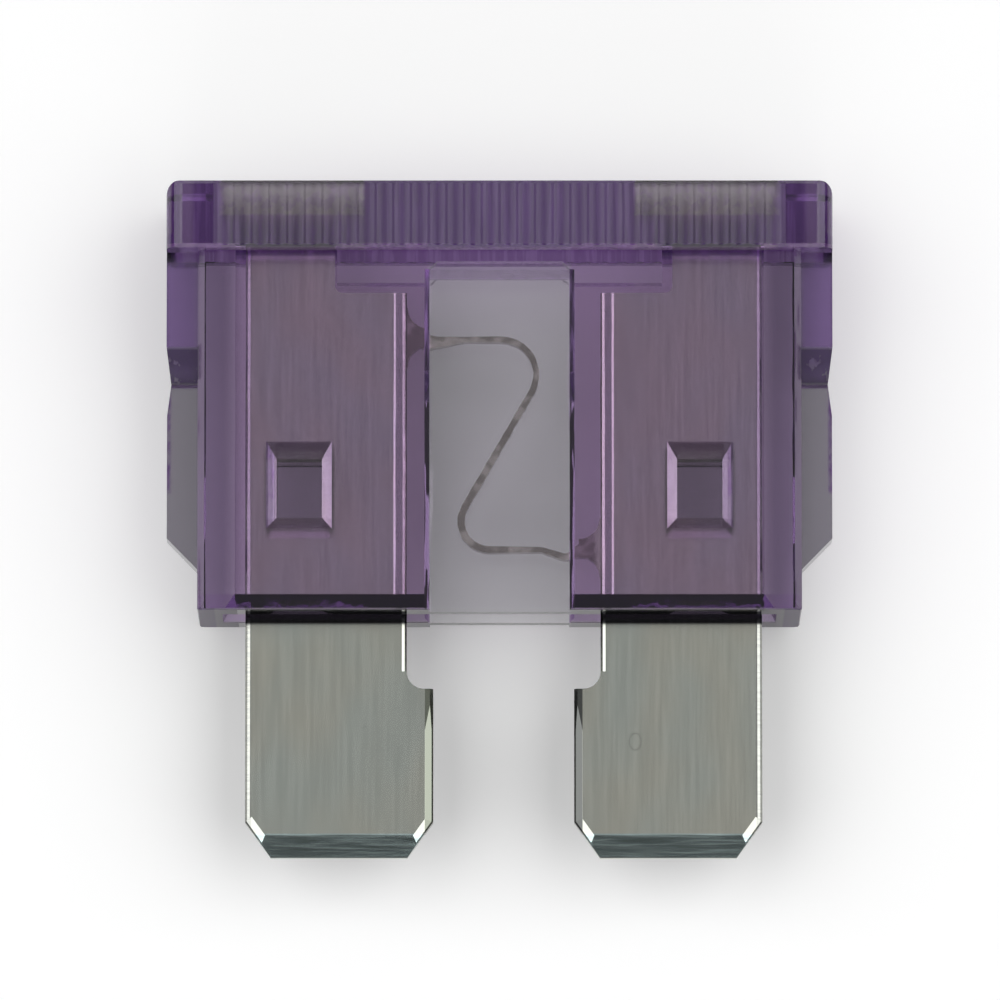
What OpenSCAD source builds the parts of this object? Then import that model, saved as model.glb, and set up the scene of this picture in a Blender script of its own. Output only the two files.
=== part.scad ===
// Automotive blade fuse of the regular size, lying on its back.
// A clear violet housing, moulded in one piece and open at the bottom, holds one stamped
// zinc element: two terminals that end in blades, joined by a thin bent link.
// X runs across the two blades, Y from the blade tips to the head, Z from back to front.
// The origin is the middle of the fuse's outline, at the height of the head's back face.

/* [Head] */
// Width of the head, across both blades
head_w = 19.1; // [18.5:0.1:20]
// Height of the head, along the blades
head_h = 1.94; // [1.7:0.02:2.6]
// Thickness of the head, front to back
head_t = 5.1; // [4.7:0.1:6]
// Radius of the two top corners, seen from the front
head_top_r = 0.4; // [0.1:0.05:0.6]
// Radius of the four upright corners, seen from the top
head_side_r = 0.5; // [0.1:0.05:0.6]
// Number of grooves across each face of the head
groove_count = 32; // [8:1:32]
// Distance from one groove to the next
groove_pitch = 0.507; // [0.3:0.001:0.52]
// Width of the crest that is left between two grooves
groove_crest = 0.07; // [0.04:0.01:0.15]
// Depth of each groove
groove_depth = 0.04; // [0.03:0.01:0.14]
// Slanted edge all along the top and bottom of both faces
head_edge = 0.1; // [0.05:0.01:0.25]

/* [Body] */
// Width of the body below the head, without its side wings
body_w = 17.3; // [16.6:0.1:18]
// Height of the body, from its open end to the head
body_h = 10.4; // [10.3:0.1:13]
// Thickness of the body, front to back
body_t = 3.9; // [3.6:0.1:4.5]
// Slanted edge along the four upright corners of the body
body_edge = 0.2; // [0.05:0.05:0.3]
// Slanted edge round the body's open end
rim_edge = 0.05; // [0.02:0.01:0.15]

/* [Side wings] */
// Thickness of the wing's upper part, under the head
wing_upper_t = 2.9; // [2:0.1:3.5]
// Height of that upper part
wing_upper_h = 2.75; // [1.5:0.05:4]
// Height of the slope that leads down to the thin part
wing_slope_h = 0.95; // [0.3:0.05:2]
// Thickness of the wing's lower part
wing_lower_t = 1.0; // [0.6:0.1:1.8]
// Distance from the body's open end to the wing
wing_start = 1.33; // [0.5:0.01:3]
// Height of the slanted outer corner at the wing's lower end
wing_corner = 0.92; // [0.3:0.01:1.5]
// How far the thin part is set back where it leaves the slope
wing_nick = 0.12; // [0:0.01:0.3]
// Height over which that set-back runs out
wing_nick_h = 0.9; // [0.3:0.1:1.5]

/* [Window] */
// Width of the recessed window over the link
window_w = 4.0; // [3:0.1:4.2]
// Depth of the recess in each face
window_recess = 0.5; // [0.2:0.05:0.7]
// Thickness of the clear wall behind it
window_wall = 0.5; // [0.3:0.05:0.7]
// Distance from the window's top to the head
window_drop = 0.33; // [0.1:0.01:1]
// Slanted top corners of the window
window_corner = 0.2; // [0:0.05:0.5]

/* [Hollows] */
// Width of the chamber that holds the link
chamber_w = 4.3; // [3.6:0.1:4.9]
// Distance from the chamber's ceiling to the head
chamber_drop = 0.45; // [0.3:0.05:1]
// Slanted edge along the chamber's four long corners
chamber_edge = 0.14; // [0.05:0.01:0.3]
// Play between the element and each wall of its slot
slot_play = 0.03; // [0.01:0.01:0.08]
// Play outside the terminals and beside the test tabs
slot_end_play = 0.18; // [0.15:0.01:0.2]
// Room over the element's shoulders
shoulder_room = 0.28; // [0.05:0.01:0.5]
// Height of the slanted lead-in at the open end
lead_h = 0.58; // [0.2:0.02:0.8]
// How far the lead-in widens the slot at each end
lead_side = 0.36; // [0.1:0.02:0.5]
// How far the lead-in widens the slot towards each face
lead_face = 0.58; // [0.2:0.02:0.8]
// Distance from the middle of the fuse to the near side of a test pocket
pocket_near = 3.9; // [3.2:0.1:4.6]
// Distance from the middle of the fuse to the far side of a test pocket
pocket_far = 8.0; // [7.6:0.1:8.6]
// Depth of the test pockets in the top of the head
pocket_d = 1.0; // [0.6:0.05:1.4]
// Thickness of the test pockets, front to back
pocket_t = 1.9; // [1:0.1:2.5]

/* [Stakes] */
// Distance from the middle of the fuse to each stake
stake_x = 5.74; // [4.6:0.01:6.2]
// Height of the stakes over the open end
stake_y = 3.6; // [2.8:0.1:6]
// Width of each stake's floor
stake_w = 1.3; // [0.8:0.1:1.8]
// Height of each stake's floor
stake_h = 1.7; // [1:0.1:2.4]
// Slant of the sides of a stake, from floor to rim
stake_flare_x = 0.29; // [0.1:0.01:0.5]
// Slant of the upper and lower sides of a stake
stake_flare_y = 0.4; // [0.1:0.01:0.6]
// Depth of each stake in the wall
stake_d = 0.75; // [0.3:0.05:1]
// How far the pressed plastic stands in the element's hole, on each side
stake_boss = 0.24; // [0.1:0.01:0.3]
// Play between that plastic and the sides of the hole
stake_play = 0.04; // [0.02:0.01:0.1]

/* [Terminals and blades] */
// Thickness of the stamped metal
metal_t = 0.65; // [0.5:0.01:0.8]
// Distance from the middle of the fuse to the outer edge of each blade
blade_outer = 7.41; // [7:0.01:7.6]
// Distance from the middle of the fuse to the inner edge of each blade
blade_inner = 2.02; // [1.6:0.02:2.3]
// Distance from the middle of the fuse to the inner edge of each terminal
neck_inner = 2.78; // [2.6:0.02:3.2]
// How far the blades stand out of the body
blade_out = 6.94; // [5.5:0.02:8]
// How far below the body the blades reach their full width
blade_step = 2.07; // [1:0.01:3]
// Radius where the terminal widens into the blade
blade_step_r = 0.5; // [0.2:0.05:0.7]
// Width of the slanted corners at the blade tips
tip_corner_w = 0.74; // [0.3:0.01:1]
// Height of the slanted corners at the blade tips
tip_corner_h = 1.03; // [0.5:0.01:1.5]
// Height of the terminals' shoulders over the open end
shoulder_y = 9.32; // [8.5:0.01:9.6]
// Distance from the middle of the fuse to the inner edge of each test tab
tab_inner = 4.85; // [4.5:0.05:5.5]
// Distance from the top of a test tab to the top of the head
tab_drop = 0.56; // [0.3:0.02:0.9]
// Radius where a test tab meets its shoulder
tab_r = 0.23; // [0.1:0.01:0.4]
// How far the element sits to one side in its slot
element_shift = 0.12; // [0:0.01:0.12]
// Width of the coined bevel on the outer edges and the bare necks
coin_outer = 0.14; // [0.1:0.02:0.5]
// Width of the coined bevel on the terminals' inner edges, inside the housing
coin_inner = 0.38; // [0.1:0.02:0.5]
// Width of the coined bevel on the blades' inner edges and slanted corners
coin_blade = 0.24; // [0.1:0.02:0.5]
// Length over which the bevel on a blade's inner edge runs out below the step
coin_run = 1.2; // [0.6:0.1:2]
// Height of the coined bevel at the blade tips
coin_tip = 0.64; // [0.3:0.02:1]
// Depth of the coined bevel on the long edges
coin_d = 0.06; // [0.04:0.01:0.15]
// Depth of the coined bevel at the tips
coin_tip_d = 0.15; // [0.05:0.01:0.2]
// Size of the rolled edge that the stamping leaves outside the bevels
edge_roll = 0.095; // [0.07:0.005:0.12]

/* [Link] */
// Thickness of the link, which is thinned from the strip
link_t = 0.35; // [0.2:0.01:0.5]
// Width of the link's two level arms
arm_w = 0.15; // [0.1:0.01:0.3]
// Width of the link's slanted middle
middle_w = 0.2; // [0.1:0.01:0.3]
// Height of the upper arm over the open end
upper_arm_y = 8.05; // [7.4:0.05:8.3]
// Height of the lower arm over the open end
lower_arm_y = 1.95; // [1.5:0.05:2.6]
// Radius of the upper bend
upper_bend_r = 1.02; // [0.6:0.02:1.1]
// Radius of the lower bend
lower_bend_r = 0.82; // [0.6:0.02:0.9]
// Where the two straight runs would cross beyond the upper bend
upper_cross_x = 1.68; // [1.4:0.02:1.9]
// Where the two straight runs would cross beyond the lower bend, on the other side
lower_cross_x = 1.82; // [1.4:0.02:1.9]
// How far the lower arm dips before it meets its root
arm_dip = 0.22; // [0:0.02:0.3]
// Height of the root where it enters the chamber
root_h = 0.5; // [0.3:0.05:0.8]
// Radius of the flare from the root to the terminal
root_r = 0.6; // [0.3:0.05:0.8]

/* [Hidden] */
$fn = 48;
violet = [0.42, 0.26, 0.62];
zinc = [0.72, 0.73, 0.71];
// Overlap that lets a cut pass its face or joins two solids
over = 0.2;
arc_steps = 10;
overall_h = blade_out + body_h + head_h;
open_end_y = blade_out - overall_h / 2;
mid_z = head_t / 2;
top_y = body_h + head_h;
slot_t = metal_t + 2 * slot_play;
chamber_t = body_t - 2 * (window_recess + window_wall);
slot_outer = blade_outer + slot_end_play;
tab_top = top_y - tab_drop;
groove_half = (groove_pitch - groove_crest) / 2;
groove_r = (groove_half * groove_half + groove_depth * groove_depth) / (2 * groove_depth);
wing_x = body_w / 2 - over;
wing_slope_top = body_h - wing_upper_h;
wing_slope_end = wing_slope_top - wing_slope_h;

// From here on, y = 0 is the body's open end and z = 0 the middle of the metal.
module in_place() translate([0, open_end_y, mid_z]) children();

module both_sides() {
    children();
    mirror([1, 0, 0]) children();
}

module both_faces() {
    children();
    mirror([0, 0, 1]) children();
}

// A block between two heights, centred on the width and the thickness
module block(w, y0, y1, t) translate([-w / 2, y0, -t / 2]) cube([w, y1 - y0, t]);

// An outline seen from the front, given a thickness
module from_front(t) translate([0, 0, -t / 2]) linear_extrude(t) children();

// An outline drawn as (thickness, height), seen from the side and given a width
module from_side(w) translate([w / 2, 0, 0]) rotate([0, -90, 0]) linear_extrude(w) children();

// A section drawn as (width, thickness), seen along the blades and run between two heights
module upright(y0, y1) translate([0, y1, 0]) rotate([90, 0, 0]) linear_extrude(y1 - y0) children();

// What rounds one outer corner: the corner square less a circle
module corner_waste(r) {
    difference() {
        square(r + over);
        circle(r);
    }
}

// A rectangle between two heights whose lower and upper corners are cut at 45 degrees
module slanted_rect(w, y0, y1, low, high) {
    half = w / 2;
    polygon([
        [-half + low, y0], [half - low, y0], [half, y0 + low], [half, y1 - high],
        [half - high, y1], [-half + high, y1], [-half, y1 - high], [-half, y0 + low]
    ]);
}

// A centred rectangle with four corners cut at 45 degrees
module slanted_plan(w, t, edge) {
    intersection() {
        square([w, t], center = true);
        rotate(45) square((w + t) / sqrt(2) - sqrt(2) * edge, center = true);
    }
}

module trapezoid(w0, w1, y0, y1) {
    polygon([[-w0 / 2, y0], [w0 / 2, y0], [w1 / 2, y1], [-w1 / 2, y1]]);
}

module head_front() {
    difference() {
        translate([-head_w / 2, body_h]) square([head_w, head_h]);
        both_sides() translate([head_w / 2 - head_top_r, top_y - head_top_r]) corner_waste(head_top_r);
    }
}

module head_plan() {
    difference() {
        square([head_w, head_t], center = true);
        for (side = [0, 1], face = [0, 1])
            mirror([side, 0]) mirror([0, face])
                translate([head_w / 2 - head_side_r, head_t / 2 - head_side_r]) corner_waste(head_side_r);
        for (i = [0:groove_count - 1], face = [0, 1])
            mirror([0, face])
                translate([(i - (groove_count - 1) / 2) * groove_pitch, head_t / 2 + groove_r - groove_depth])
                    circle(groove_r);
    }
}

module head() {
    intersection() {
        from_front(head_t + 2 * over) head_front();
        upright(body_h - over, top_y + over) head_plan();
        from_side(head_w + 2 * over) slanted_rect(head_t, body_h, top_y, head_edge, head_edge);
    }
}

module body() {
    intersection() {
        upright(0, body_h + over) slanted_plan(body_w, body_t, body_edge);
        from_side(body_w + 2 * over) slanted_rect(body_t, 0, body_h + over, rim_edge, 0);
        from_front(body_t + 2 * over) slanted_rect(body_w, 0, body_h + over, rim_edge, 0);
    }
}

// Thick under the head, then a slope down to a thin fin with a slanted lower corner
module wing() {
    reach = head_w / 2;
    intersection() {
        translate([wing_x + (reach - wing_x) / 2, 0, 0])
            from_side(reach - wing_x + 2 * over)
                polygon([
                    [-wing_lower_t / 2, 0], [wing_lower_t / 2, 0],
                    [wing_lower_t / 2, wing_slope_end], [wing_upper_t / 2, wing_slope_top],
                    [wing_upper_t / 2, body_h + over], [-wing_upper_t / 2, body_h + over],
                    [-wing_upper_t / 2, wing_slope_top], [-wing_lower_t / 2, wing_slope_end]
                ]);
        from_front(head_t)
            polygon([
                [wing_x, wing_start], [body_w / 2, wing_start], [reach, wing_start + wing_corner],
                [reach, wing_slope_end - wing_nick_h], [reach - wing_nick, wing_slope_end],
                [reach, wing_slope_top], [reach, body_h + over], [wing_x, body_h + over]
            ]);
    }
}

// One long slot for the strip, two tab slots up into the head, and the link's chamber
module hollows() {
    slot_top = shoulder_y + shoulder_room;
    block(2 * slot_outer, -over, slot_top, slot_t);
    upright(-over, body_h - chamber_drop) slanted_plan(chamber_w, chamber_t, chamber_edge);
    lead_in();
    both_sides() {
        translate([tab_inner - slot_end_play, slot_top - over, -slot_t / 2])
            cube([slot_outer - tab_inner + slot_end_play, top_y - pocket_d - slot_top + 2 * over, slot_t]);
        translate([pocket_near, top_y - pocket_d, -pocket_t / 2])
            cube([pocket_far - pocket_near, pocket_d + over, pocket_t]);
    }
}

module lead_in() {
    widen = (lead_h + over) / lead_h;
    end_w = 2 * slot_outer;
    intersection() {
        from_front(body_t) trapezoid(end_w + 2 * lead_side * widen, end_w, -over, lead_h);
        from_side(body_w) trapezoid(slot_t + 2 * lead_face * widen, slot_t, -over, lead_h);
    }
}

module window() {
    top = body_h - window_drop;
    half = window_w / 2;
    translate([0, 0, body_t / 2 - window_recess])
        linear_extrude(window_recess + over)
            polygon([
                [-half, -over], [half, -over], [half, top - window_corner],
                [half - window_corner, top], [window_corner - half, top], [-half, top - window_corner]
            ]);
}

// A pit with four slanted sides, pressed into the wall over the element's hole
module stake_pit() {
    widen = (stake_d + over) / stake_d;
    floor_z = body_t / 2 - stake_d;
    rim_w = stake_w + 2 * stake_flare_x * widen;
    rim_h = stake_h + 2 * stake_flare_y * widen;
    translate([stake_x, stake_y, 0])
        intersection() {
            upright(-rim_h / 2, rim_h / 2) trapezoid(stake_w, rim_w, floor_z, body_t / 2 + over);
            translate([rim_w / 2, 0, 0]) rotate([0, -90, 0])
                linear_extrude(rim_w) rotate(-90) mirror([1, 0])
                    trapezoid(stake_h, rim_h, floor_z, body_t / 2 + over);
        }
}

// The plastic that the pit has pushed into the element's hole
module stake_plug() {
    translate([stake_x - stake_w / 2 + stake_play, stake_y - stake_h / 2 + stake_play, slot_t / 2 - stake_boss])
        cube([stake_w - 2 * stake_play, stake_h - 2 * stake_play, stake_boss + over]);
}

module housing() {
    color(violet) in_place() {
        difference() {
            union() {
                head();
                body();
                both_sides() wing();
            }
            hollows();
            both_faces() window();
            both_sides() both_faces() stake_pit();
        }
        both_sides() both_faces() stake_plug();
    }
}

// A coined bevel along an edge from one point to the next, on both faces of the metal.
// The metal lies to the left of the edge.
module coin(start, end, w, d) {
    run = end - start;
    face = metal_t / 2;
    both_faces()
        translate([start[0], start[1], 0]) rotate(atan2(run[1], run[0])) rotate([90, 0, 90])
            linear_extrude(norm(run))
                polygon([[-over, face - d * (1 + over / w)], [w, face], [w, face + over], [-over, face + over]]);
}

module terminal_front() {
    tip = -blade_out;
    polygon([
        [blade_inner, -blade_step], [blade_inner, tip + tip_corner_h],
        [blade_inner + tip_corner_w, tip], [blade_outer - tip_corner_w, tip],
        [blade_outer, tip + tip_corner_h], [blade_outer, tab_top], [tab_inner, tab_top],
        [tab_inner, shoulder_y], [neck_inner, shoulder_y], [neck_inner, -blade_step]
    ]);
    translate([neck_inner, -blade_step]) mirror([1, 0]) inner_corner(blade_step_r);
    translate([tab_inner, shoulder_y]) mirror([1, 0]) inner_corner(tab_r);
}

// What fills the corner between a level edge and an upright one with a round
module inner_corner(r) {
    difference() {
        square(r);
        translate([r, r]) circle(r);
    }
}

module terminal() {
    tip = -blade_out;
    inner_tip = [blade_inner + tip_corner_w, tip];
    outer_tip = [blade_outer - tip_corner_w, tip];
    inner_side = [blade_inner, tip + tip_corner_h];
    outer_side = [blade_outer, tip + tip_corner_h];
    outer_top = [blade_outer, tab_top + over];
    neck_top = [neck_inner, shoulder_y + over];
    neck_mouth = [neck_inner, lead_h];
    neck_end = [neck_inner, blade_step_r - blade_step];
    step = [blade_inner, -blade_step];
    run_end = step - [0, coin_run];
    run_slant = [coin_blade, -coin_run];
    difference() {
        from_front(metal_t) terminal_front();
        coin(outer_side - [0, over], outer_top, coin_outer, coin_d);
        coin(neck_top, neck_mouth, coin_inner, coin_d);
        coin(neck_mouth, neck_end, coin_outer, coin_d);
        intersection() {
            coin(run_end - run_slant, run_end + run_slant, coin_blade * coin_run / norm(run_slant), coin_d);
            translate(concat(run_end - [coin_run, 0], -metal_t)) cube([2, 1, 2] * coin_run + [0, 1, 0]);
        }
        coin(run_end, inner_side - [0, over], coin_blade, coin_d);
        coin(inner_side, inner_tip, coin_blade, coin_d);
        coin(outer_tip, outer_side, coin_blade, coin_d);
        coin(inner_tip - [tip_corner_w, 0], outer_tip + [tip_corner_w, 0], coin_tip, coin_tip_d);
        for (edge = [[outer_side - [0, over], outer_top], [neck_top, neck_end],
                     [step + [0, over], inner_side - [0, over]], [inner_side, inner_tip],
                     [outer_tip, outer_side]])
            coin(edge[0], edge[1], edge_roll, edge_roll);
    }
}

// Points of the round bend at corner b, on the way from a to c. A corner is [x, y, radius, width].
function bend(a, b, c) =
    let (
        in_dir = unit([a[0] - b[0], a[1] - b[1]]),
        out_dir = unit([c[0] - b[0], c[1] - b[1]]),
        half = acos(in_dir * out_dir) / 2,
        centre = [b[0], b[1]] + unit(in_dir + out_dir) * b[2] / sin(half),
        first = [b[0], b[1]] + in_dir * b[2] / tan(half) - centre,
        turn = in_dir[0] * out_dir[1] - in_dir[1] * out_dir[0] > 0 ? -1 : 1,
        from_angle = atan2(first[1], first[0])
    )
    [for (i = [0:arc_steps])
        let (angle = from_angle + turn * i / arc_steps * (180 - 2 * half))
        [centre[0] + b[2] * cos(angle), centre[1] + b[2] * sin(angle), b[3]]];

function unit(v) = v / norm(v);

// The middle line of a strip through its corners, with each bend made round
function strip_line(corners) =
    let (last = len(corners) - 1)
    concat(
        [[corners[0][0], corners[0][1], corners[0][3]]],
        [for (i = [1:last - 1], p = bend(corners[i - 1], corners[i], corners[i + 1])) p],
        [[corners[last][0], corners[last][1], corners[last][3]]]
    );

// One edge of the strip: side is 1 for the left of the way and -1 for the right
function strip_edge(line, side) =
    let (last = len(line) - 1)
    [for (i = [0:last])
        let (
            before = line[max(i - 1, 0)],
            after = line[min(i + 1, last)],
            way = unit([after[0] - before[0], after[1] - before[1]])
        )
        [line[i][0] - side * way[1] * line[i][2] / 2, line[i][1] + side * way[0] * line[i][2] / 2]];

function backwards(list) = [for (i = [len(list) - 1:-1:0]) list[i]];

// The thin link, from the left terminal's root to the right one's
module link() {
    chamber_x = chamber_w / 2;
    soft_r = 0.3;
    line = strip_line([
        [-chamber_x - over, upper_arm_y - 0.08, 0, root_h],
        [-chamber_x * 0.88, upper_arm_y - 0.08, soft_r, 0.32],
        [-chamber_x / 2, upper_arm_y, soft_r, arm_w],
        [upper_cross_x, upper_arm_y, upper_bend_r, (arm_w + middle_w) / 2],
        [-lower_cross_x, lower_arm_y, lower_bend_r, middle_w],
        [chamber_x / 2, lower_arm_y, soft_r, arm_w],
        [chamber_x * 0.82, lower_arm_y - arm_dip, soft_r, arm_w * 1.3],
        [chamber_x + over, lower_arm_y - arm_dip / 4, 0, root_h]
    ]);
    from_front(link_t) polygon(concat(strip_edge(line, 1), backwards(strip_edge(line, -1))));
    from_front(link_t) root_front(upper_arm_y);
    mirror([1, 0, 0]) from_front(link_t) root_front(lower_arm_y);
}

// A root block that flares into the left terminal's edge
module root_front(y) {
    chamber_x = chamber_w / 2;
    difference() {
        translate([-neck_inner - over, y - root_h / 2 - root_r])
            square([neck_inner - chamber_x + over, root_h + 2 * root_r]);
        for (side = [-1, 1])
            translate([-chamber_x, y + side * (root_h / 2 + root_r)]) circle(root_r);
    }
}

// The holes line up with the stakes in the housing, wherever the element sits in its slot
module fuse_element() {
    color(zinc) in_place() difference() {
        translate([element_shift, 0, 0]) {
            both_sides() terminal();
            link();
        }
        both_sides() translate([stake_x, stake_y, 0]) block(stake_w, -stake_h / 2, stake_h / 2, metal_t + over);
    }
}

housing();
fuse_element();
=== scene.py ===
from math import cos, radians, sin

import bpy
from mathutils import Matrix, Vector


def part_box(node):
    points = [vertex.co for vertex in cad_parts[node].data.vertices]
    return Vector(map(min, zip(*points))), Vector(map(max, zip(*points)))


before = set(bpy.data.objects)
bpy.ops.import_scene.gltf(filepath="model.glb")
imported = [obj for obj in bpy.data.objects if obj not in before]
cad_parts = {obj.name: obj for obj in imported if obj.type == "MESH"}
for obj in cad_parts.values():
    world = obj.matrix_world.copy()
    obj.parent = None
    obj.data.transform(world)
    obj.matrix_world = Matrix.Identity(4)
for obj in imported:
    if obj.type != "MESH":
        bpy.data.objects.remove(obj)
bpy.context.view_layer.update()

mm = 0.001
far = 30.0  # in mm, past the part on every side
housingLow, housingHigh = [Vector(corner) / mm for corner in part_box("housing")]
elementLow, elementHigh = [Vector(corner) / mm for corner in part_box("fuse_element")]

# Camera: looks down on the fuse, a few degrees from the blades' side
view = {
    "elevation": 82.0,
    "distance": 450 * mm,
    "lookAt": (0.014 * mm, 0.736 * mm, 2.55 * mm),
    "pixelsPerMm": 34.8,
    "pictureWidth": 1000,
    "sensor": 36.0,
    "clip": (10 * mm, 20.0),
}


def makeCamera():
    camera = bpy.data.cameras.new("camera")
    seen = view["pictureWidth"] / view["pixelsPerMm"] * mm
    camera.sensor_width = view["sensor"]
    camera.lens = view["sensor"] * view["distance"] / seen
    camera.clip_start, camera.clip_end = view["clip"]
    holder = bpy.data.objects.new("camera", camera)
    tilt = radians(view["elevation"])
    away = Vector((0, -cos(tilt), sin(tilt)))
    holder.location = Vector(view["lookAt"]) + away * view["distance"]
    holder.rotation_euler = away.to_track_quat("Z", "Y").to_euler()
    bpy.context.scene.collection.objects.link(holder)
    bpy.context.scene.camera = holder


# An input takes a plain value or another node's output
def feed(tree, socket, value):
    if isinstance(value, bpy.types.NodeSocket):
        tree.links.new(value, socket)
    else:
        socket.default_value = value


def addNode(tree, kind, inputs=None, **properties):
    node = tree.nodes.new(kind)
    for name, value in properties.items():
        setattr(node, name, value)
    for name, value in (inputs or {}).items():
        feed(tree, node.inputs[name], value)
    return node


def calc(tree, operation, *values):
    return addNode(tree, "ShaderNodeMath", dict(enumerate(values)), operation=operation).outputs[0]


def vectorCalc(tree, operation, *values):
    return addNode(tree, "ShaderNodeVectorMath", dict(enumerate(values)), operation=operation).outputs[0]


# Turns a value between the two ends of a range into 0 to 1, or into the two ends of another
def ramp(tree, value, start, end, low=0.0, high=1.0):
    return addNode(tree, "ShaderNodeMapRange", {
        "Value": value, "From Min": start, "From Max": end, "To Min": low, "To Max": high,
    }, interpolation_type="SMOOTHSTEP").outputs[0]


def mixColour(tree, amount, first, second, blend="MIX"):
    node = addNode(tree, "ShaderNodeMix", data_type="RGBA", blend_type=blend)
    for place, value in zip((0, 6, 7), (amount, first, second)):  # its factor and two colours
        feed(tree, node.inputs[place], value)
    return node.outputs[2]


def joined(tree, x, y, z):
    return addNode(tree, "ShaderNodeCombineXYZ", {"X": x, "Y": y, "Z": z}).outputs[0]


def newMaterial(name):
    material = bpy.data.materials.new(name)
    material.use_nodes = True
    material.node_tree.nodes.clear()
    return material, material.node_tree


# Object coordinates in millimetres, as a whole and one by one
def placeInMm(tree):
    coords = addNode(tree, "ShaderNodeTexCoord")
    place = vectorCalc(tree, "MULTIPLY", coords.outputs["Object"], (1 / mm, 1 / mm, 1 / mm))
    return place, addNode(tree, "ShaderNodeSeparateXYZ", {0: place}).outputs


# World: a dim room with a pale ceiling, which ends where the camera hangs, and a pale wall behind the camera
sky = {
    "room": 0.07,
    "ceiling": 0.42,
    "ceilingLow": (0.35, 0.8),
    "ceilingEdge": (-0.25, 0.04),
    "wall": 0.3,
    "wallEdge": (-0.5, -0.75),
    "wallFoot": (0.12, 0.35),
}


def makeWorld():
    world = bpy.data.worlds.new("studio")
    bpy.context.scene.world = world
    world.use_nodes = True
    tree = world.node_tree
    tree.nodes.clear()
    coords = addNode(tree, "ShaderNodeTexCoord")
    split = addNode(tree, "ShaderNodeSeparateXYZ", {0: coords.outputs["Generated"]}).outputs
    ceiling = calc(tree, "MULTIPLY", ramp(tree, split["Z"], *sky["ceilingLow"]), ramp(
        tree, split["Y"], *sky["ceilingEdge"]))
    wall = calc(tree, "MULTIPLY", ramp(tree, split["Y"], *sky["wallEdge"]), ramp(
        tree, split["Z"], *sky["wallFoot"]))
    strength = calc(
        tree, "ADD", ramp(tree, ceiling, 0, 1, sky["room"], sky["ceiling"]),
        calc(tree, "MULTIPLY", wall, sky["wall"]))
    background = addNode(tree, "ShaderNodeBackground", {"Strength": strength})
    addNode(tree, "ShaderNodeOutputWorld", {"Surface": background.outputs[0]})


# Lamps: places and sizes in mm, power in watts
lamps = {
    "left": {"place": (-310, 0, 370), "size": 520, "power": 1.45},
    "right": {"place": (310, 0, 370), "size": 520, "power": 1.45},
    "front": {"place": (0, -450, 165), "size": 300, "power": 0.35},
}


def makeLamps():
    for name, lamp in lamps.items():
        light = bpy.data.lights.new(name + "Lamp", "AREA")
        light.shape = "SQUARE"
        light.size = lamp["size"] * mm
        light.energy = lamp["power"]
        holder = bpy.data.objects.new(name + "Lamp", light)
        holder.location = Vector(lamp["place"]) * mm
        holder.rotation_euler = holder.location.to_track_quat("Z", "Y").to_euler()
        bpy.context.scene.collection.objects.link(holder)
    # the plastic lets lamplight straight through, so bent light isn't counted again
    bpy.context.scene.cycles.caustics_refractive = False
    bpy.context.scene.cycles.caustics_reflective = False


# Floor: size in metres, place below the part in mm
floor = {
    "size": 1.6,
    "below": 0.02,
    "colour": (0.97, 0.97, 0.97, 1),
    "roughness": 0.9,
    "specular": 0.1,
    "lift": 0.1,
}


def makeFloor():
    half = floor["size"] / 2
    mesh = bpy.data.meshes.new("floor")
    corners = [(-half, -half, 0), (half, -half, 0), (half, half, 0), (-half, half, 0)]
    mesh.from_pydata(corners, [], [(0, 1, 2, 3)])
    plane = bpy.data.objects.new("floor", mesh)
    plane.location.z = -floor["below"] * mm
    bpy.context.scene.collection.objects.link(plane)
    material, tree = newMaterial("floor")
    shader = addNode(tree, "ShaderNodeBsdfPrincipled", {
        "Base Color": floor["colour"], "Roughness": floor["roughness"],
        "Specular IOR Level": floor["specular"]})
    rays = addNode(tree, "ShaderNodeLightPath").outputs
    seen = calc(tree, "MAXIMUM", rays["Is Camera Ray"], calc(
        tree, "MAXIMUM", rays["Is Glossy Ray"], rays["Is Transmission Ray"]))
    lift = addNode(tree, "ShaderNodeEmission", {"Strength": calc(tree, "MULTIPLY", seen, floor["lift"])})
    both = addNode(tree, "ShaderNodeAddShader", {0: shader.outputs[0], 1: lift.outputs[0]})
    addNode(tree, "ShaderNodeOutputMaterial", {"Surface": both.outputs[0]})
    mesh.materials.append(material)


# Shared effects: node groups that put out masks and values only
def newGroup(name, inputs, outputs):
    group = bpy.data.node_groups.new(name, "ShaderNodeTree")
    for label, kind in inputs.items():
        group.interface.new_socket(label, in_out="INPUT", socket_type="NodeSocket" + kind)
    for label in outputs:
        group.interface.new_socket(label, in_out="OUTPUT", socket_type="NodeSocketFloat")
    return group, group.nodes.new("NodeGroupInput").outputs, group.nodes.new("NodeGroupOutput").inputs


# 1 inside a box, 0 outside, with a soft edge of the given width
def makeZoneGroup():
    group, given, result = newGroup(
        "zone", {"Place": "Vector", "Middle": "Vector", "Half Size": "Vector", "Softness": "Float"}, ["Mask"])
    away = vectorCalc(group, "ABSOLUTE", vectorCalc(group, "SUBTRACT", given["Place"], given["Middle"]))
    outside = addNode(group, "ShaderNodeSeparateXYZ", {
        0: vectorCalc(group, "SUBTRACT", away, given["Half Size"])}).outputs
    farthest = calc(group, "MAXIMUM", outside[0], calc(group, "MAXIMUM", outside[1], outside[2]))
    half = calc(group, "MULTIPLY", given["Softness"], 0.5)
    mask = ramp(group, farthest, calc(group, "MULTIPLY", half, -1.0), half, 1.0, 0.0)
    group.links.new(mask, result["Mask"])
    return group


# Uneven streaks: Fineness gives how many there are in a millimetre, along each axis
streakNoise = {"roughness": 0.6, "ends": (0.28, 0.72)}


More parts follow.
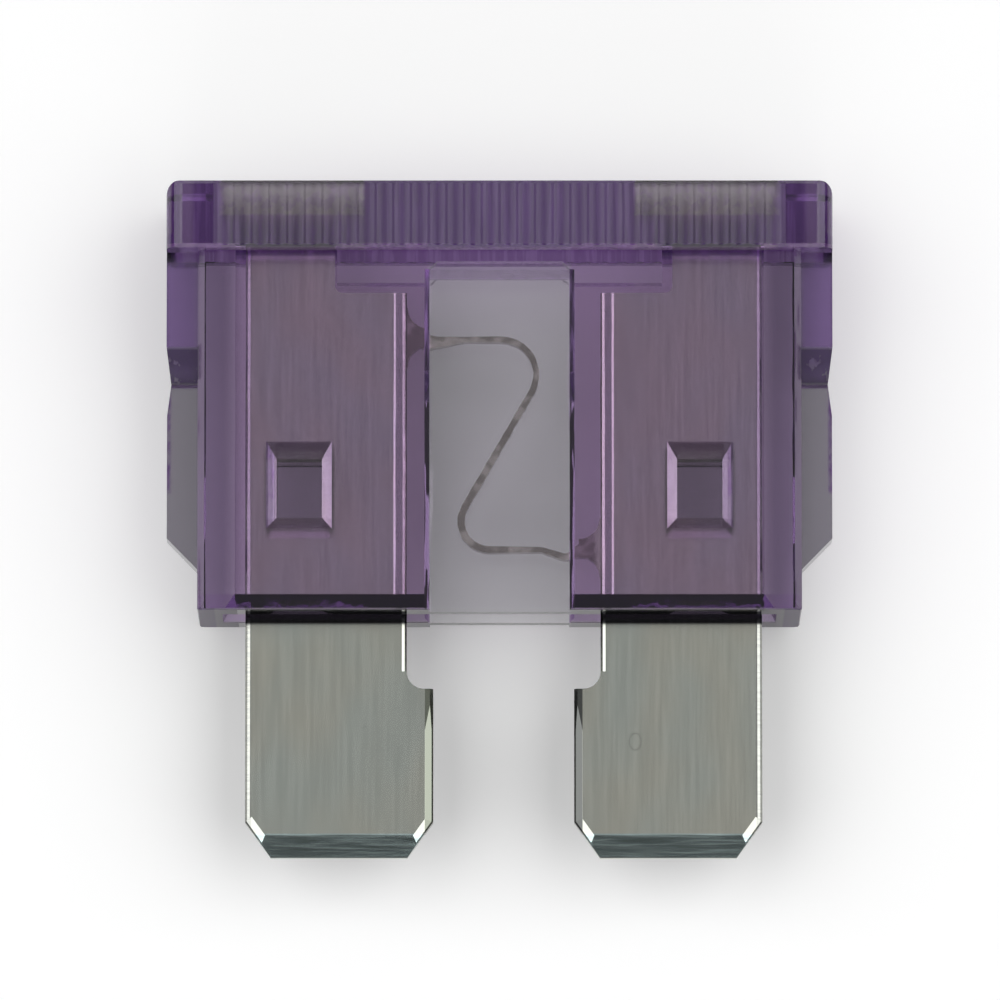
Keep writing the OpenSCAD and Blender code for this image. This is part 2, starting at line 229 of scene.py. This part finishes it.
def makeStreakGroup():
    group, given, result = newGroup(
        "streaks", {"Place": "Vector", "Fineness": "Vector", "Detail": "Float"}, ["Value"])
    noise = addNode(group, "ShaderNodeTexNoise", {
        "Vector": vectorCalc(group, "MULTIPLY", given["Place"], given["Fineness"]),
        "Scale": 1.0, "Detail": given["Detail"], "Roughness": streakNoise["roughness"]})
    group.links.new(ramp(group, noise.outputs[0], *streakNoise["ends"]), result["Value"])
    return group


# Hairline marks: where a slow noise crosses its middle, broken up by a second noise some way off
hairlineBreaks = {"offset": (31.0, 17.0, 7.0), "scale": 1.3, "detail": 2.0, "soft": 0.08}


def makeHairlineGroup():
    group, given, result = newGroup("hairlines", {
        "Place": "Vector", "Fineness": "Vector", "Width": "Float", "Share": "Float"}, ["Mask"])
    run = vectorCalc(group, "MULTIPLY", given["Place"], given["Fineness"])
    path = addNode(group, "ShaderNodeTexNoise", {"Vector": run, "Scale": 1.0, "Detail": 1.0})
    off = calc(group, "ABSOLUTE", calc(group, "SUBTRACT", path.outputs[0], 0.5))
    line = ramp(group, off, 0.0, given["Width"], 1.0, 0.0)
    shifted = vectorCalc(group, "ADD", given["Place"], hairlineBreaks["offset"])
    breaks = addNode(group, "ShaderNodeTexNoise", {
        "Vector": shifted, "Scale": hairlineBreaks["scale"], "Detail": hairlineBreaks["detail"]})
    edge = calc(group, "SUBTRACT", 1.0, given["Share"])
    kept = ramp(group, breaks.outputs[0], edge, calc(group, "ADD", edge, hairlineBreaks["soft"]))
    group.links.new(calc(group, "MULTIPLY", line, kept), result["Mask"])
    return group


shared = {"zone": makeZoneGroup(), "streaks": makeStreakGroup(), "hairlines": makeHairlineGroup()}


def useShared(tree, name, inputs):
    return addNode(tree, "ShaderNodeGroup", inputs, node_tree=shared[name]).outputs[0]


# Each range is a pair of places in mm, and an axis without one isn't limited
def zone(tree, place, softness, x=(-far, far), y=(-far, far), z=(-far, far)):
    low, high = [Vector(corner) for corner in zip(x, y, z)]
    return useShared(tree, "zone", {
        "Place": place, "Middle": (low + high) / 2, "Half Size": (high - low) / 2, "Softness": softness})


def streaks(tree, place, fineness, detail):
    return useShared(tree, "streaks", {"Place": place, "Fineness": fineness, "Detail": detail})


def hairlines(tree, place, fineness, width, share):
    return useShared(tree, "hairlines", {
        "Place": place, "Fineness": fineness, "Width": width, "Share": share})


# Clear violet plastic: sizes in mm, and across the fuse they count from its middle
plastic = {
    "ior": 1.58,
    "absorbed": (0.112, 0.154, 0.084),  # share lost in each millimetre, as a rate
    "deepestTint": 0.9,  # most that the volume's colour holds back, and its density does the rest
    "bodyTone": (0.86, 0.77, 0.885, 1),
    "bodyHalfWidth": 8.65,
    "windowHalfWidth": 2.05,
    "headHeight": 1.94,
    "underDrop": 0.5,
    "leadInHeight": 0.41,
    "sideEdge": (7.3, 8.0),
    # across the fuse, where the painted highlight at each end of the head lies
    "endHighlight": (8.8, 9.15),
    "slope": {"drop": 2.75, "height": 0.95, "overlap": 0.05},
    "outline": {"width": 0.1, "length": 4.0},
    "flutes": {"halfWidth": 8.2, "depth": 0.25, "foot": 0.1, "brow": 0.05},
    "stakes": {"x": (4.74, 6.74), "y": (-0.3, 2.1)},
    "pocket": {"x": (3.9, 8.0), "depth": 1.0, "topShadeDepth": 0.5},
    "glow": {"x": ((2.05, 4.5), (7.4, 9.6)), "below": 0.05, "above": 0.11, "depth": 0.3},
    "rim": {"height": 0.03, "mouthHeight": 0.01, "mouthEdge": 7.5, "corner": 8.15},
    # noises: how many to a millimetre along each axis, and how fine
    "grain": {"fineness": (7.0, 0.3, 0.5), "detail": 1.0},
    "grainEnds": (0.35, 0.9),
    "mottle": {"fineness": (3.5, 2.5, 2.0), "detail": 2.0},
    "flow": {"fineness": (2.2, 0.25, 1.0), "detail": 2.0},
    "scratch": {"fineness": (0.9, 0.35, 0.6), "width": 0.004, "share": 0.3},
    "bump": {"strength": 0.15, "distance": 0.02 * mm, "flow": 0.8, "slope": 2.5},
    # from the first laid to the last: what a zone lets through, which in most zones is painted shade and in a
    # few painted highlight, the width of its soft edge, the roughness that it adds, and how the mottle breaks
    # up its tone, as the mottle's two ends and what is left at each
    "zones": {
        "window": {"tone": (0.95, 0.97, 0.95, 1), "soft": 0.1},  # thin walls over the link
        "side": {"tone": (0.44, 0.37, 0.49, 1)},  # painted shade on the solid plastic outside the terminals
        "stakes": {"tone": (0.66, 0.61, 0.68, 1), "soft": 0.08, "rough": 0.07},  # pressed into the strip, with painted shade over them
        "leadIn": {"tone": (0.4, 0.28, 0.5, 1), "soft": 0.08},  # slanted mouth of the slot, with painted shade
        # painted shade over the whole head
        "head": {"tone": (0.18, 0.075, 0.29, 1), "soft": 0.1, "rough": 0.08},
        # the head's painted shade, lighter in streaks of grain
        "headStreaks": {"tone": (0.30, 0.16, 0.44, 1)},
        "flutes": {"soft": 0.06, "rough": 0.32},
        "endHighlight": {"tone": (0.36, 0.26, 0.44, 1), "soft": 0.2},  # painted highlight: a paler band along each end of the head
        # painted shade in the pockets at the head's top, lighter than the head's
        "pocket": {"tone": (0.45, 0.42, 0.42, 1), "soft": 0.12, "breaks": (0.2, 0.7, 0.5, 1.0)},
        # painted shade along the pockets' top, darker still
        "pocketTop": {"tone": (0.32, 0.31, 0.30, 1), "soft": 0.15, "breaks": (0.2, 0.8, 0.35, 1.0)},
        # painted highlight along the head's front lower edge, broken by the mottle
        "glow": {"tone": (1.0, 0.7, 1.0, 1), "soft": 0.05, "breaks": (0.3, 0.6, 0.3, 1.0)},
        "rim": {"tone": (0.2, 0.2, 0.2, 1), "soft": 0.05},  # painted shade on the end face of the body
        "mouth": {"tone": (0.03, 0.02, 0.04, 1), "soft": 0.04},  # painted shade, near black, on the rim where the slot opens
        # painted shade at the rim's outer corners
        "rimCorner": {"tone": (0.06, 0.02, 0.12, 1), "soft": 0.1},
        # painted shade seen through each wing
        "wing": {"tone": (0.30, 0.295, 0.315, 1), "soft": 0.06},
        # painted shade along each wing's outer edge, broken by the mottle
        "outline": {"tone": (0.16, 0.08, 0.24, 1), "soft": 0.1, "breaks": (0.2, 0.7, 0.3, 1.0)},
        "under": {"tone": (0.30, 0.21, 0.41, 1), "soft": 0.3, "rough": 0.15},  # painted shade under the head's ends, on the thick upper part of each wing
        # painted shade on the slanted foot of each wing's upper part, mottled
        "slope": {"tone": (0.02, 0.006, 0.05, 1), "soft": 0.15, "breaks": (1.0, 0.75, 0.55, 1.0)},
        "scratch": {"rough": 0.1},
        "coarse": {"rough": 0.4},  # the slopes and the rim, as the mould left them
    },
}


def plasticMasks(tree, place, axes):
    width, top, front = housingHigh
    foot, middle, edge = housingLow.y, front / 2, plastic["bodyHalfWidth"]
    flutes, glow, rim, outline = [plastic[name] for name in ("flutes", "glow", "rim", "outline")]
    pocket, slope, window = [plastic[name] for name in ("pocket", "slope", "windowHalfWidth")]
    headY = top - plastic["headHeight"]
    slopeY = headY - slope["drop"]
    rimTop = foot + rim["height"]
    acrossMiddle = calc(tree, "ABSOLUTE", axes["X"])
    mirrored = joined(tree, acrossMiddle, axes["Y"], axes["Z"])
    folded = joined(tree, axes["X"], axes["Y"], calc(
        tree, "ABSOLUTE", calc(tree, "SUBTRACT", axes["Z"], middle)))

    spans = {
        "window": {"x": (-far, window), "y": (-far, headY)},
        "stakes": plastic["stakes"],
        "leadIn": {"x": (window, edge), "y": (rimTop, rimTop + plastic["leadInHeight"])},
        "head": {"y": (headY, far)},
        "endHighlight": {"x": plastic["endHighlight"], "y": (headY, far)},
        "pocket": {"x": pocket["x"], "y": (top - pocket["depth"], top)},
        "pocketTop": {"x": pocket["x"], "y": (top - pocket["topShadeDepth"], top)},
        "rim": {"x": (window, far), "y": (-far, rimTop)},
        "mouth": {"x": (window, rim["mouthEdge"]), "y": (-far, foot + rim["mouthHeight"])},
        "rimCorner": {"x": (rim["corner"], far), "y": (-far, rimTop)},
        "wing": {"x": (edge, far), "y": (-far, headY)},
        "outline": {"x": (width - outline["width"], far), "y": (slopeY - outline["length"], slopeY)},
        "under": {"x": (edge, far), "y": (slopeY - plastic["underDrop"], headY)},
        "slope": {"x": (edge - slope["overlap"], far), "y": (slopeY - slope["height"], slopeY)},
    }
    soft = {name: look.get("soft") for name, look in plastic["zones"].items()}
    masks = {name: zone(tree, mirrored, soft[name], **span) for name, span in spans.items()}
    masks["flutes"] = zone(
        tree, folded, soft["flutes"], x=(-flutes["halfWidth"], flutes["halfWidth"]),
        y=(headY + flutes["foot"], top - flutes["brow"]), z=(middle - flutes["depth"], far))
    masks["glow"] = calc(tree, "MAXIMUM", *[zone(
        tree, mirrored, soft["glow"], x=span, y=(headY - glow["below"], headY + glow["above"]),
        z=(front - glow["depth"], far)) for span in glow["x"]])
    masks["side"] = ramp(tree, acrossMiddle, *plastic["sideEdge"])
    grain = ramp(tree, streaks(tree, place, **plastic["grain"]), *plastic["grainEnds"])
    masks["headStreaks"] = calc(tree, "MULTIPLY", masks["head"], grain)
    masks["scratch"] = hairlines(tree, place, **plastic["scratch"])
    masks["coarse"] = calc(
        tree, "MAXIMUM", masks["slope"], calc(tree, "SUBTRACT", masks["rim"], masks["mouth"]))
    return masks


def plasticMaterial():
    material, tree = newMaterial("violetPlastic")
    place, axes = placeInMm(tree)
    masks = plasticMasks(tree, place, axes)
    mottle = streaks(tree, place, **plastic["mottle"])
    flow = streaks(tree, place, **plastic["flow"])

    tone = plastic["bodyTone"]
    rough = 0.0  # polished, where no zone adds to it
    for name, look in plastic["zones"].items():
        mask = masks[name]
        if "rough" in look:
            rough = calc(tree, "MULTIPLY_ADD", mask, look["rough"], rough)
        if "breaks" in look:
            mask = calc(tree, "MULTIPLY", mask, ramp(tree, mottle, *look["breaks"]))
        if "tone" in look:
            tone = mixColour(tree, mask, tone, look["tone"])

    slopeBumps = calc(tree, "MULTIPLY", masks["slope"], mottle)
    height = calc(
        tree, "MULTIPLY_ADD", flow, plastic["bump"]["flow"],
        calc(tree, "MULTIPLY", slopeBumps, plastic["bump"]["slope"]))
    bump = addNode(tree, "ShaderNodeBump", {
        "Strength": plastic["bump"]["strength"], "Distance": plastic["bump"]["distance"], "Height": height})

    shader = addNode(tree, "ShaderNodeBsdfPrincipled", {
        "Base Color": tone, "Roughness": rough, "IOR": plastic["ior"],
        "Transmission Weight": 1.0, "Normal": bump.outputs[0]})
    clear = addNode(tree, "ShaderNodeBsdfTransparent", {"Color": (1, 1, 1, 1)})
    rays = addNode(tree, "ShaderNodeLightPath")
    surface = addNode(tree, "ShaderNodeMixShader", {
        0: rays.outputs["Is Shadow Ray"], 1: shader.outputs[0], 2: clear.outputs[0]})
    density = max(plastic["absorbed"]) / plastic["deepestTint"] / mm
    tint = [1 - rate / mm / density for rate in plastic["absorbed"]]
    volume = addNode(tree, "ShaderNodeVolumeAbsorption", {"Color": (*tint, 1), "Density": density})
    addNode(tree, "ShaderNodeOutputMaterial", {"Surface": surface.outputs[0], "Volume": volume.outputs[0]})
    return material


# Tinned zinc strip: rolled along the blades, coined at the tips and edges, darker on the thin link, with
# painted shade on its bevels and where it leaves the housing, and painted glints on the link
metal = {
    "shift": 0.12,  # how far to the right the strip sits in its slot
    "linkHalfWidth": 2.75,
    "coined": (2.9, 3.1),
    "outerFrom": 7.24,
    "inner": {"x": (1.9, 2.26), "below": 0.95},
    # where the painted shade lies on the strip, below and above the housing's lower edge
    "mouth": {"below": 0.2, "above": 0.5},
    "tip": {"height": 0.68, "offMiddle": (0.15, 0.19)},
    "middleBand": (-1.0, 1.0),  # between the left blade's shades and the right one's
    "loop": {"middle": (3.89, -6.30, 0), "half": (0.17, 0.24, 100), "line": (0.02, 0.16), "depth": 0.5},
    "soft": {"tip": 0.08, "link": 0.2, "mouth": 0.1, "coined": 0.04, "outer": 0.04, "inner": 0.03},
    # noises: how many to a millimetre along each axis, and how fine
    "rolled": {"fineness": (9.0, 0.35, 1.0), "detail": 3.0},
    "cross": {"fineness": (0.6, 16.0, 1.0), "detail": 2.0},
    "clouds": {"fineness": (0.5, 0.3, 0.5), "detail": 1.0},
    "dents": {"fineness": (2.0, 2.0, 2.0), "detail": 1.0},
    "marks": {"fineness": (1.4, 0.8, 1.0), "width": 0.004, "share": 0.31},
    "markDepth": 0.3,
    "streakDepth": (0.03, 0.35),  # on the flat strip, and on the tips
    "outerBreaks": (0.2, 0.8, 0.55, 1.0),
    "glintEnds": (0.5, 0.9),
    "roughness": 0.17,
    "streakRoughness": 0.04,
    "bump": {"strength": 0.025, "distance": 0.01 * mm, "dents": 14.0},
    "tones": {
        "warm": (0.63, 0.63, 0.55, 1),
        "cool": (0.59, 0.63, 0.58, 1),
        # painted shade along the blades' outer edges, broken into patches
        "outer": (0.46, 0.47, 0.44, 1),
        # painted shade on the inner bevels of the blades, darker on the right one, which the light reaches
        # less
        "leftInnerShade": (0.27, 0.29, 0.24, 1),
        "rightInnerShade": (0.13, 0.135, 0.13, 1),
        "tip": (0.70, 0.86, 0.85, 1),
        "link": (0.28, 0.245, 0.245, 1),
        # painted glints on the link
        "linkGlint": (0.50, 0.45, 0.45, 1),
        # painted shade over the coined bevels beside the link
        "coined": (0.15, 0.14, 0.15, 1),
        # painted shade, near black, where the strip leaves the housing
        "mouth": (0.03, 0.03, 0.032, 1),
    },
}


def metalMasks(tree, place, axes):
    mouthY, halfLink = housingLow.y, metal["linkHalfWidth"]
    soft, mouth, inner, tip = [metal[name] for name in ("soft", "mouth", "inner", "tip")]
    across = calc(tree, "SUBTRACT", axes["X"], metal["shift"])
    mirrored = joined(tree, calc(tree, "ABSOLUTE", across), axes["Y"], axes["Z"])
    offMiddle = calc(tree, "ABSOLUTE", calc(
        tree, "SUBTRACT", axes["Z"], (elementLow.z + elementHigh.z) / 2))
    tipEnd = zone(tree, place, soft["tip"], y=(-far, elementLow.y + tip["height"]))
    return {
        "tip": calc(tree, "MULTIPLY", ramp(tree, offMiddle, *tip["offMiddle"]), tipEnd),
        "link": zone(tree, place, soft["link"], x=(-halfLink, halfLink), y=(mouthY, far)),
        "mouth": zone(tree, place, soft["mouth"], y=(mouthY - mouth["below"], mouthY + mouth["above"])),
        "coined": zone(tree, mirrored, soft["coined"], x=metal["coined"], y=(mouthY, far)),
        "outer": zone(tree, mirrored, soft["outer"], x=(metal["outerFrom"], far)),
        "inner": zone(tree, mirrored, soft["inner"], x=inner["x"], y=(-far, mouthY - inner["below"])),
        "right": ramp(tree, across, *metal["middleBand"]),
    }


# The small loop that is scratched into the right blade
def loopMark(tree, place):
    loop = metal["loop"]
    off = vectorCalc(tree, "DIVIDE", vectorCalc(tree, "SUBTRACT", place, loop["middle"]), loop["half"])
    reach = addNode(tree, "ShaderNodeVectorMath", {0: off}, operation="LENGTH").outputs["Value"]
    ring = ramp(tree, calc(tree, "ABSOLUTE", calc(tree, "SUBTRACT", reach, 1.0)), *loop["line"], 1.0, 0.0)
    return calc(tree, "MULTIPLY", ring, loop["depth"])


def metalMaterial():
    material, tree = newMaterial("zincStrip")
    place, axes = placeInMm(tree)
    masks, tones = metalMasks(tree, place, axes), metal["tones"]
    rolled, cross, clouds, dents = [
        streaks(tree, place, **metal[name]) for name in ("rolled", "cross", "clouds", "dents")]
    marks = calc(tree, "MAXIMUM", hairlines(tree, place, **metal["marks"]), loopMark(tree, place))
    lines = mixColour(tree, masks["tip"], rolled, cross)

    outer = calc(tree, "MULTIPLY", masks["outer"], ramp(tree, cross, *metal["outerBreaks"]))
    inner = mixColour(tree, masks["right"], tones["leftInnerShade"], tones["rightInnerShade"])
    link = mixColour(tree, ramp(tree, dents, *metal["glintEnds"]), tones["link"], tones["linkGlint"])
    colour = mixColour(tree, clouds, tones["warm"], tones["cool"])
    layers = [
        (outer, tones["outer"]),
        (masks["inner"], inner),
        (masks["tip"], tones["tip"]),
        (masks["link"], link),
        (masks["coined"], tones["coined"]),
        (masks["mouth"], tones["mouth"]),
    ]
    for mask, laid in layers:
        colour = mixColour(tree, mask, colour, laid)
    depth = ramp(tree, masks["tip"], 0.0, 1.0, *metal["streakDepth"])
    streaksAndMarks = calc(tree, "SUBTRACT", 1.0, calc(tree, "MULTIPLY", calc(tree, "SUBTRACT", 1.0, lines), depth))
    streaksAndMarks = calc(tree, "SUBTRACT", streaksAndMarks, calc(tree, "MULTIPLY", marks, metal["markDepth"]))
    colour = mixColour(tree, 1.0, colour, joined(tree, streaksAndMarks, streaksAndMarks, streaksAndMarks), "MULTIPLY")

    linkDents = calc(tree, "MULTIPLY", masks["link"], dents)
    height = calc(tree, "MULTIPLY_ADD", linkDents, metal["bump"]["dents"], lines)
    bump = addNode(tree, "ShaderNodeBump", {
        "Strength": metal["bump"]["strength"], "Distance": metal["bump"]["distance"], "Height": height})
    shader = addNode(tree, "ShaderNodeBsdfPrincipled", {
        "Base Color": colour, "Metallic": 1.0, "Normal": bump.outputs[0],
        "Roughness": calc(tree, "MULTIPLY_ADD", lines, metal["streakRoughness"], metal["roughness"])})
    addNode(tree, "ShaderNodeOutputMaterial", {"Surface": shader.outputs[0]})
    return material


def dress(node, material):
    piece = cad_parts[node]
    piece.data.materials.clear()
    piece.data.materials.append(material)
    print("dressed", node)


makeCamera()
makeWorld()
makeLamps()
makeFloor()
print("studio ready")
dress("housing", plasticMaterial())
dress("fuse_element", metalMaterial())

bpy.context.scene.view_settings.view_transform = "Standard"
